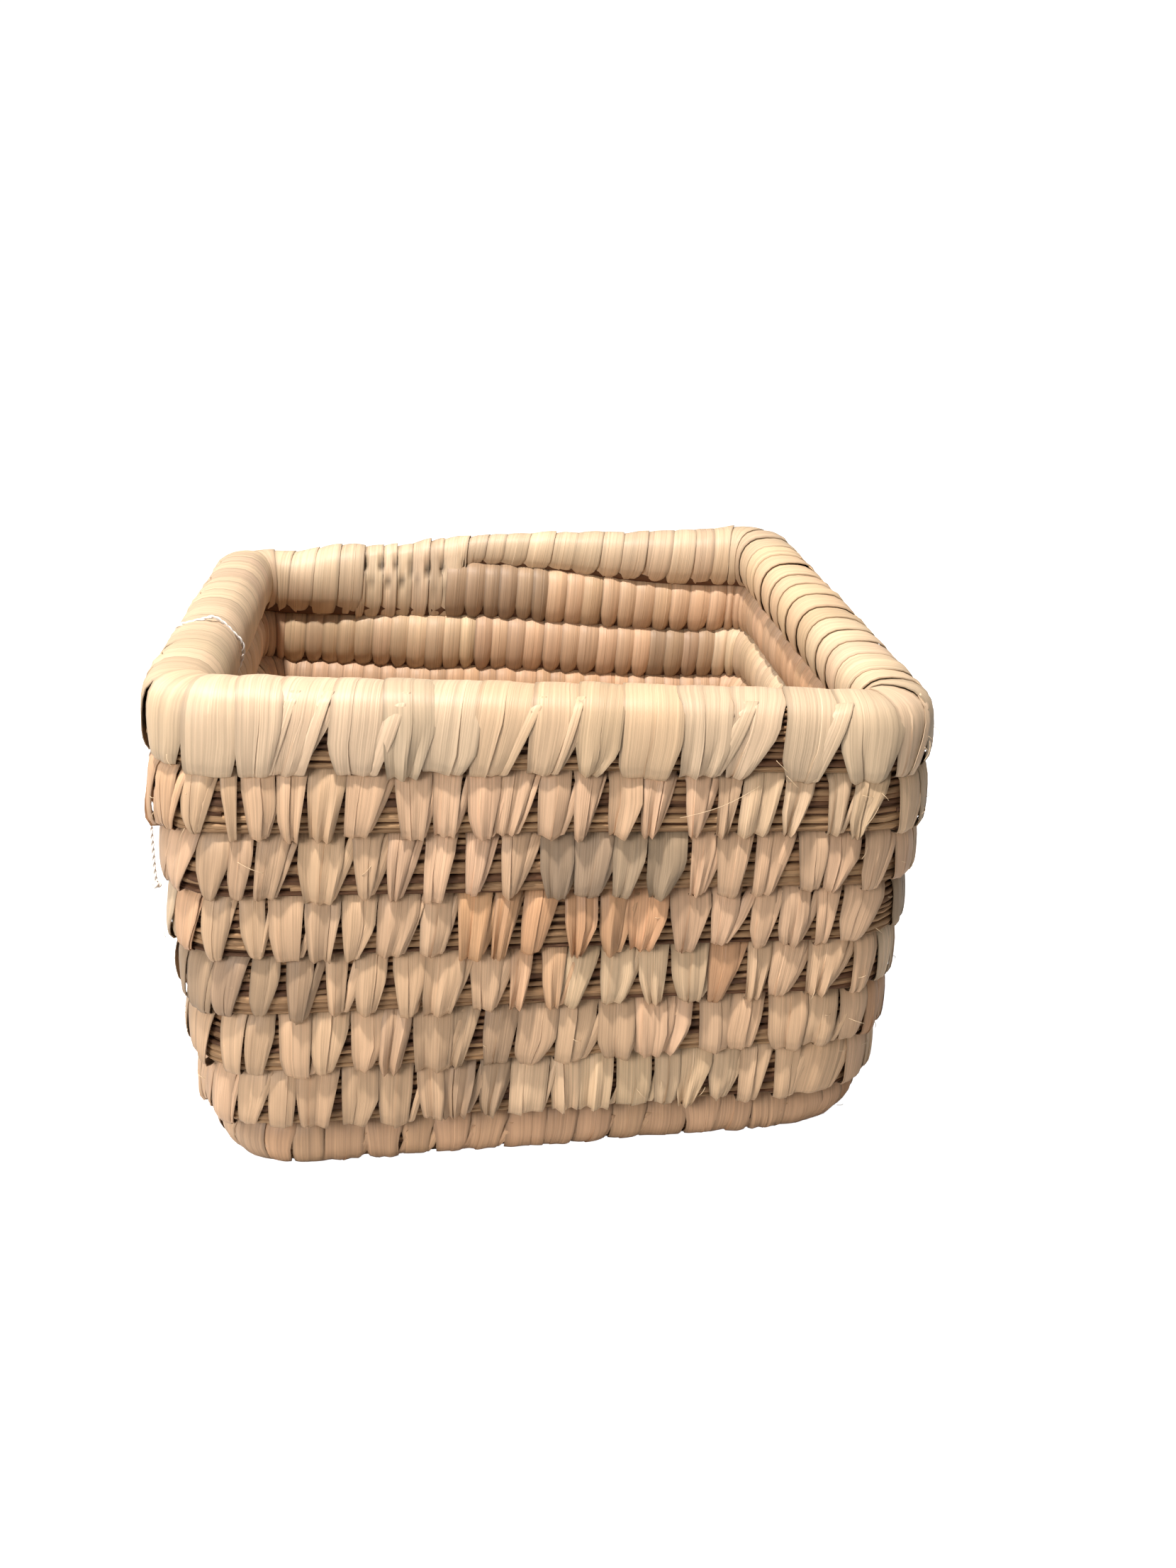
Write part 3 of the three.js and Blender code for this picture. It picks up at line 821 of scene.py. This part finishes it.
def leaves(name, along, way, lift, tip_drop, tint, aged, across):
    """Builds thin leaves from arrays of stitch, row and column, and keeps their colour and place."""
    count, rows, columns = lift.shape
    outer = on_coil(along, way, lift, tip_drop, "wrapped_")
    inner = on_coil(along, way, lift - leaf_thick_mm, tip_drop, "wrapped_")
    points = np.stack([outer, inner], 1).reshape(-1, 3)
    one = leaf_shell_faces(rows, columns)
    faces = (one[None] + np.arange(count)[:, None, None] * 2 * rows * columns).reshape(-1, 4)
    across = across / 1000 + np.arange(count)[:, None, None] * leaf_grain_offset
    length = np.zeros((count, rows, columns)) + (way * leaf_way_mm / 1000)
    uv = np.stack([across, length], -1)
    uv = np.stack([uv, uv], 1).reshape(-1, 2)
    edge = np.abs(np.linspace(-1, 1, columns))[None, None, :] + np.zeros_like(lift)
    edge = np.stack([edge, edge], 1).ravel()
    aged = np.stack([aged + np.zeros_like(lift)] * 2, 1).ravel()
    tints = np.repeat(tint, 2 * rows * columns, axis=0)
    return mesh_object(
        name, points, faces, leaf_skin, leaf_sharp_angle, uv=uv, tint=tints, aged=aged, edge=edge
    )


leaf_skin, leaf_tree, leaf_shader = new_material("palm_leaf", roughness=0.5, specular=0.35)
leaf_tint = add_node(leaf_tree, "ShaderNodeAttribute", attribute_name="tint")
leaf_aged = add_node(leaf_tree, "ShaderNodeAttribute", attribute_name="aged")
leaf_edge = add_node(leaf_tree, "ShaderNodeAttribute", attribute_name="edge")
leaf_fine = grain_of(leaf_tree, 1900.0, 90.0)
leaf_broad = grain_of(leaf_tree, 420.0, 60.0)
leaf_colour = times(leaf_tree, leaf_tint.outputs["Color"], ranged(leaf_tree, leaf_fine, 0.83, 1.12))
leaf_colour = times(leaf_tree, leaf_colour, ranged(leaf_tree, leaf_broad, 0.87, 1.09))
# Painted shade: the shade value darkens the leaf to about a third of its colour
leaf_colour = times(leaf_tree, leaf_colour, ranged(leaf_tree, leaf_aged.outputs["Fac"], 1.0, 0.36, 0.0, 1.0))
# Darker along each leaf's edges: partly a painted shadow line under the lifted edge, partly a dry edge
leaf_colour = times(leaf_tree, leaf_colour, ranged(leaf_tree, leaf_edge.outputs["Fac"], 1.0, 0.66, 0.8, 1.0))
leaf_tree.links.new(leaf_colour, leaf_shader.inputs["Base Color"])
bump(leaf_tree, leaf_shader, leaf_fine, strength=0.6, distance=0.00018)


def stitch_starts(first, last, pitch, dice):
    """Distances along the coil at which stitches start, and their lengths. They are more or less
    even, but closer on the back, at the seam and round the corners, where they fan out."""
    starts = []
    steps = []
    at = first
    while at < last - pitch / 2:
        leg = float(turn_and_leg(place_at(at))[1]) % legs
        share = corner_share if leg % 2 >= 1 else 1
        if leg > 7 or leg < 1:
            share = back_share
        share = between(share, seam_pitch_share, float(coil_value("both_held", at)))
        step = pitch * dice.uniform(0.84, 1.16) * share
        starts.append(at)
        steps.append(step)
        at += step
    spread = (last - first) / (at - first)
    return first + (np.array(starts) - first) * spread, np.array(steps) * spread


def one_for_each(dice, count):
    """A function that draws a number between two others for each of the leaves."""

    def each(low, high):
        return dice.uniform(low, high, count)[:, None, None]

    return each


def pleated(way, left, right, dice):
    """Distances and lifts of the columns across each leaf, from its left edge to its right one. From
    the tip up most leaves are pleated: one part lies over the other, so that the leaf narrows."""
    count = len(way)
    each = one_for_each(dice, count)
    closed = np.clip(1 - way / each(0.35, 0.95), 0, 1)
    crease = left + (right - left) * each(0.3, 0.66)
    lap = between(-0.25, each(0.2, 2.2), closed)
    height = 0.1 + np.sqrt(closed) * each(0.25, 0.95)
    under = np.linspace(0, 1, 7)
    over = np.linspace(0, 1, 8)
    under_at = left + (crease + lap / 2 - left) * under
    over_at = crease - lap / 2 + (right - crease + lap / 2) * over
    at = np.concatenate([under_at, crease + np.zeros_like(way), over_at], 2)
    lift = np.concatenate([0 * under * height, height / 2, height * (1 - 0.6 * over)], 2)
    mirrored = dice.random((count, 1, 1)) < 0.4
    at = np.where(mirrored, left + right - at[:, :, ::-1], at)
    return at, np.where(mirrored, lift[:, :, ::-1], lift), closed


def petals_of(
    name, turn, first_place, last_place, pitch, seed, *, cover, tip_share, taper, roll, sunk, loose, lap
):
    """All of one turn's stitches: each a leaf that goes right round the turn. cover is the share of
    the outside that the leaves hide above their tips, tip_share how wide the right half of a tip is,
    and taper how far up the leaves narrow. roll is how round they are on the inside and sunk how
    tightly they lie, both in millimetres. loose is how much their edges stand off. lap is how far the
    right edge lies over the next leaf, and is less than 0 where the left edge does."""
    dice = np.random.default_rng(100 + seed)
    start, length = stitch_starts(distance_at(first_place), distance_at(last_place), pitch, dice)
    count = len(start)
    each = one_for_each(dice, count)
    way = np.tile(leaf_rows[None, :, None], (count, 1, 1))
    step = length[:, None, None]
    outside = np.clip(way, 0, 1)
    inside = np.clip(way - 1, 0, 1)
    slant = each(-0.05, 0.42)
    centre = start[:, None, None] + step * (0.5 - slant * (1 - outside) + 0.5 * inside)
    widest = between(cover * each(0.74, 1.16), 1.14, smooth_step(way, 0.66, 0.92))
    above_tip = np.clip((outside - 0.06) / 0.94, 0, 1)
    left_tip = each(0.35, 1.0)
    left_reach = taper * each(0.2, 0.6)
    right_tip = tip_share * each(-0.5, 1.7)
    right_reach = taper * each(0.35, 0.85)
    narrow_end = 1 - each(0.15, 0.75) * smooth_step(way, 1.6, 1.92)
    half = 0.5 * step * widest * narrow_end
    left = -half * between(left_tip, 1, np.clip(above_tip / left_reach, 0, 1) ** 0.8)
    right = half * between(right_tip, 1, np.clip(above_tip / right_reach, 0, 1) ** 0.9)
    at, lift, closed = pleated(way, left, right, dice)

    # How far the leaf stands off: rounded over the turn, bent, lapped, fanned out at its tip
    across = np.clip((at - (left + right) / 2) / (0.5 * (right - left)), -1, 1)
    crown = between(each(0.1, 0.5), roll * each(0.7, 1.2), smooth_step(way, 1.02, 1.4))
    bend = each(-0.3, 0.3) * np.abs(across - each(-0.5, 0.5)) * (1 - smooth_step(way, 0.9, 1.1))
    lapped = lap * each(0.15, 1.2) * loose * across
    lapped = lapped * smooth_step(way, 0.5, 0.9) * (1 - smooth_step(way, 1.7, 1.9))
    open_edge = loose * each(0, 1.1) * smooth_step(across, -0.2, 1) * (1 - smooth_step(way, 0.3, 0.8))
    creases = across * each(0.35, 1.1) + each(0, 1)
    fan = each(0.3, 1.3) * closed * (4 * np.abs(creases % 1 - 0.5) - 1)
    thicker = loose * each(0.3, 1.0) * smooth_step(way, 0.02, 0.16) * (1 - smooth_step(way, 0.25, 0.6))
    waves = 0.1 * np.sin(3 * across + each(0, 6.3)) * np.sin(4 * way + each(0, 6.3))
    on_corner = turn_and_leg(place_at(start))[1] % 2 >= 1
    relief = np.where(on_corner, corner_relief, 1.0)[:, None, None]
    lift = lift * relief + loose * each(0.0, 0.45) + crown * (1 - np.abs(across) ** 2.2)
    lift = lift + bend + lapped + open_edge * relief

    # Where a stitch holds the rim's thin end too, it sinks into the joint on the inside, with holes
    # beside it and a second row of holes below.
    held = coil_value("both_held", centre + at)
    held_inside = held * (way > 1)
    newer = np.interp(way, leaf_way_count, leaf_way[:, 1]) - coil_value("joint", centre + at)
    sinking = held_inside * np.exp(-(newer / 0.2) ** 2)
    holes = held_inside * np.exp(-(newer / 0.13) ** 2) * smooth_step(np.abs(across), 0.35, 0.8)
    second = np.exp(-((newer + 0.42) / 0.11) ** 2) * (1 - smooth_step(np.abs(across - 0.1), 0.15, 0.55))
    holes = holes + 0.8 * held_inside * second
    lift = lift + (fan + thicker) * relief + waves + held_lift_mm * held
    lift = lift - sink_depth_mm * sinking - hole_depth_mm * holes
    lift = (lift - sunk) * smooth_step(way, -0.02, 0.12)

    # Painted shade, as colour: darker where the leaf goes in between the turns, below the top where the
    # turn above hangs over it, on the inside, in creases and in the holes. The fan's ridges are painted
    # lighter and its hollows darker.
    aged = 1 - smooth_step(way, 0.03, 0.1) + smooth_step(way, 1.85, 2.0)
    aged = aged + roll * (0.22 * smooth_step(way, 0.7, 0.86) * (1 - smooth_step(way, 1.0, 1.15)))
    aged = aged + roll * 0.1 * smooth_step(way, 1.15, 1.4) + roll * 0.45 * smooth_step(way, 1.58, 1.88)
    aged = aged + 0.18 * closed * np.exp(-np.abs(across) / 0.2) - 0.15 * fan + 1.3 * holes
    tint = stitch_colours(start, turn, dice)
    fanned = 0.5 * at + 0.25 * step * across
    drop = each(-0.1, 0.15)
    piece = leaves(name, centre + at, way + np.zeros_like(lift), lift, drop, tint, aged, fanned)
    tips = {
        "at": (centre + right)[:, 0],
        "step": length,
        "drop": drop[:, 0, 0],
        "tint": tint,
    }
    return piece, tips


def folds_of(name, tips, share, seed):
    """The narrow folds that go back up to the right from the tips, under the next petal."""
    dice = np.random.default_rng(200 + seed)
    kept = dice.random(len(tips["step"])) < share
    count = int(kept.sum())
    each = one_for_each(dice, count)
    rows = np.array([0, 0.06, 0.12, 0.2, 0.3, 0.42, 0.55, 0.68, 0.8])
    across = np.tile(np.linspace(-1, 1, 5)[None, None, :], (count, 1, 1))
    way = np.tile(rows[None, :, None], (count, 1, 1))
    step = tips["step"][kept][:, None, None]
    centre = tips["at"][kept][:, None] + step * (each(-0.1, 0.02) + each(0.75, 1.15) * way)
    half = step * between(each(0.06, 0.1), each(0.1, 0.2), smooth(way / 0.5))
    along = centre + across * half
    lift = each(-0.1, 0.3) + each(0.15, 0.5) * (1 - across * across) + each(-0.5, 0.5) * across
    lift = lift - 0.5 * smooth_step(way, 0.4, 0.7)
    lift = lift * smooth_step(way, -0.02, 0.12) + np.zeros_like(along)
    # Painted shade where the fold's tip goes into the turn below
    aged = 1 - smooth_step(way, 0.03, 0.12)
    way = way + np.zeros_like(lift)
    drop = tips["drop"][kept][:, None, None]
    return leaves(name, along, way, lift, drop, tips["tint"][kept] * 1.04, aged, across * half)


def stitches_of(name, turn, first_place, last_place, pitch, seed, fold_share, **look):
    petals, tips = petals_of(name + "_petals", turn, first_place, last_place, pitch, seed, **look)
    folds = folds_of(name + "_folds", tips, fold_share, seed)
    for piece in (petals, folds):
        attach(piece, "root")
    return petals


broad_rows = 3  # the lowest rows have broader petals
under_seam = 0.08  # in legs, how far before the rim the last row's stitches stop
for turn in range(1, wall_turns):
    name = f"row_{turn}"
    last_place = (turn + 1) * legs - (under_seam if turn == wall_turns - 1 else 0)
    cover, tip_share, taper = (1.04, 0.5, 0.8) if turn <= broad_rows else (0.94, 0.34, 1.0)
    petals = stitches_of(
        name, turn, turn * legs, last_place, wall_pitch_mm, seed=turn, fold_share=0.75,
        cover=cover, tip_share=tip_share, taper=taper, roll=1.25, sunk=0.1, loose=1.0, lap=0.45,
    )
    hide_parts(name + "_strip")


# The base's stitches. They are the same leaf, pressed flat by the floor, and their tips point to the
# middle on the underside. The inner turns are one piece and the outer two another.
for name, first_place, last_place in (("base_middle", coil_start, -legs), ("base", -legs, legs)):
    petals = stitches_of(
        name, 0, first_place, last_place, base_stitch_mm, seed=30, fold_share=0.6,
        cover=0.92, tip_share=0.4, taper=1.0, roll=0.8, sunk=0.1, loose=0.8, lap=0.45,
    )
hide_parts("base_strip")


# The middle of the base. The coil starts from a tight knot of leaf, which fills the first turn.
centre_radius = 0.0112
centre_half_high = 0.0088
centre_height = 0.0094
centre_left_mm = 8.5
centre_back_mm = 0.5
centre_rings = 15
centre_sides = 40
centre_wraps = 7
centre_ring_step = 0.0015
centre_x = coil_xy[0, 0] - centre_left_mm
centre_xy = skewed(centre_x, coil_xy[0, 1] + centre_back_mm, coil["level"][0], 0)[:2]
polar = np.linspace(0.02, math.pi - 0.02, centre_rings)[:, None]
round_about = (np.arange(centre_sides) / centre_sides * 2 * math.pi)[None, :]
wrapped = 1 + 0.035 * np.cos(round_about * centre_wraps + polar * 2.5)
centre_points = np.stack([
    centre_xy[0] + centre_radius * wrapped * np.sin(polar) * np.cos(round_about),
    centre_xy[1] + centre_radius * wrapped * np.sin(polar) * np.sin(round_about),
    centre_height - centre_half_high * np.cos(polar) * (1 + 0 * round_about),
], -1)
points, faces = capped_tube(centre_points)
side_number = np.tile(np.arange(centre_sides), centre_rings + 2)
ring_number = np.repeat(np.arange(centre_rings + 2), centre_sides)
between_wraps = (1 - np.cos(side_number / centre_sides * 2 * math.pi * centre_wraps)) / 2
centre = mesh_object(
    "base_centre",
    points,
    faces,
    leaf_skin,
    uv=np.stack([side_number * centre_radius / 6, ring_number * centre_ring_step], -1),
    tint=np.tile(leaf_colours["tan"], (len(points), 1)),
    # Painted shade in the grooves between the wraps
    aged=0.3 * between_wraps,
    edge=np.zeros(len(points)),
)
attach(centre, "root")


# The rim. A thicker last turn, wrapped with broad pale leaf whose edges overlap, so that its stalks
# show only between the tips. Its end thins out on top of its own start in the back wall.
rim_overlap = 0.07  # in legs, how far the first stitch lies under the last ones
rim_start = coil_end - legs - rim_overlap
petals = stitches_of(
    "rim", wall_turns, rim_start, coil_end, rim_stitch_mm, seed=40, fold_share=0.45,
    cover=1.08, tip_share=0.36, taper=0.68, roll=0.3, sunk=0.8, loose=0.7, lap=-0.75,
)
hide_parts("rim_strip")


# Loose fibres. Fine threads of leaf stand off the edges of the petals, where the strips have split.
# One long thread curls over the row below the rim, near the front right corner.
fibre_radius = 0.00009
short_fibres = 150
long_fibre_place = 7 * legs + 5
long_fibre_back_mm = 36


def fibre(distance, way, lift, sideways, upward, length, curl):
    """The line of a thread from a point on the coil, in metres. It bends the more the longer it is,
    and lies on the floor where it reaches it."""
    start = on_coil(np.array([distance]), np.array([way]), lift)[0]
    out = np.array([coil_value("out_x", distance), coil_value("out_y", distance), 0])
    along = np.array([-out[1], out[0], 0])
    share = np.linspace(0, 1, 9)[:, None]
    reach = length * share * (sideways * along + upward * np.array([0, 0, 1]))
    line = start + reach + out * length * (0.16 * np.sin(math.pi * share) + curl * share * share)
    line[:, 2] = np.maximum(line[:, 2], 3 * fibre_radius)
    return line


fibre_dice = np.random.default_rng(77)
long_fibre_start = distance_at(long_fibre_place) - long_fibre_back_mm
fibre_lines = [
    fibre(long_fibre_start, 0.62, 2.6, sideways=-1.0, upward=-0.35, length=0.026, curl=0.02)
]
for _ in range(short_fibres):
    place = fibre_dice.uniform(legs + 1, 9 * legs)
    upward = fibre_dice.uniform(-1, 0.3)
    sideways = fibre_dice.uniform(-1, 1)
    length = fibre_dice.uniform(0.003, 0.009)
    way = fibre_dice.uniform(0.12, 0.6)
    fibre_lines.append(fibre(distance_at(place), way, 1.0, sideways, upward, length, curl=0.12))
fibre_tubes = [capped_tube(tube_rings(line, fibre_radius, sides=5)) for line in fibre_lines]
fibre_skin, _, fibre_shader = new_material("leaf_fibre", roughness=0.6, specular=0.3)
fibre_shader.inputs["Base Color"].default_value = (*linear(214, 186, 150), 1)
fibres = mesh_object("loose_fibres", *joined(fibre_tubes), fibre_skin)
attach(fibres, "root")


# The studio: a plain pale floor and four lamps in soft light. The small key lamp stands high in
# front and draws the tips' shadows on the row below. The broad ones light the front left and the
# sides. The camera sees the floor and the world as white, which lights nothing else.
floor_half = 6
lamp_target = Vector((0, 0, 0.09))
floor_skin, floor_tree, floor_shader = new_material("studio_floor", roughness=0.8, specular=0.1)
floor_shader.inputs["Base Color"].default_value = (0.42, 0.42, 0.42, 1)
floor_shader.inputs["Emission Color"].default_value = (1, 1, 1, 1)
floor_seen = add_node(floor_tree, "ShaderNodeLightPath")
link(floor_seen, "Is Camera Ray", floor_shader, "Emission Strength")
floor_corners = np.array([(-1, -1, 0), (1, -1, 0), (1, 1, 0), (-1, 1, 0)]) * floor_half
floor = mesh_object("studio_floor", floor_corners, np.array([(0, 1, 2, 3)]), floor_skin)


def lamp(name, place, size, watts, colour):
    light = bpy.data.lights.new(name, "AREA")
    light.size = size
    light.energy = watts
    light.color = colour
    holder = bpy.data.objects.new(name, light)
    holder.location = place
    holder.rotation_euler = (Vector(place) - lamp_target).to_track_quat("Z", "Y").to_euler()
    bpy.context.scene.collection.objects.link(holder)


lamp("key", (-0.2, -0.38, 1.5), 0.1, 32, (1.0, 0.97, 0.94))
lamp("broad", (-1.35, -1.5, 0.8), 0.9, 27, (1.0, 0.98, 0.96))
lamp("left", (-1.5, 0.5, 1.3), 1.2, 24, (0.95, 0.98, 1.0))
lamp("right", (1.3, 0.7, 1.4), 0.9, 6, (0.94, 0.97, 1.0))
world = bpy.data.worlds.new("studio")
world.use_nodes = True
world_tree = world.node_tree
soft_light = world_tree.nodes["Background"]
soft_light.inputs["Color"].default_value = (1, 1, 1, 1)
soft_light.inputs["Strength"].default_value = 0.2
backdrop = add_node(world_tree, "ShaderNodeBackground", Color=(1, 1, 1, 1), Strength=1.05)
seen = add_node(world_tree, "ShaderNodeLightPath")
either = add_node(world_tree, "ShaderNodeMixShader")
link(seen, "Is Camera Ray", either, "Fac")
link(soft_light, "Background", either, 1)
link(backdrop, "Background", either, 2)
link(either, "Shader", world_tree.nodes["World Output"], "Surface")
bpy.context.scene.world = world
bpy.context.scene.view_settings.view_transform = "Standard"
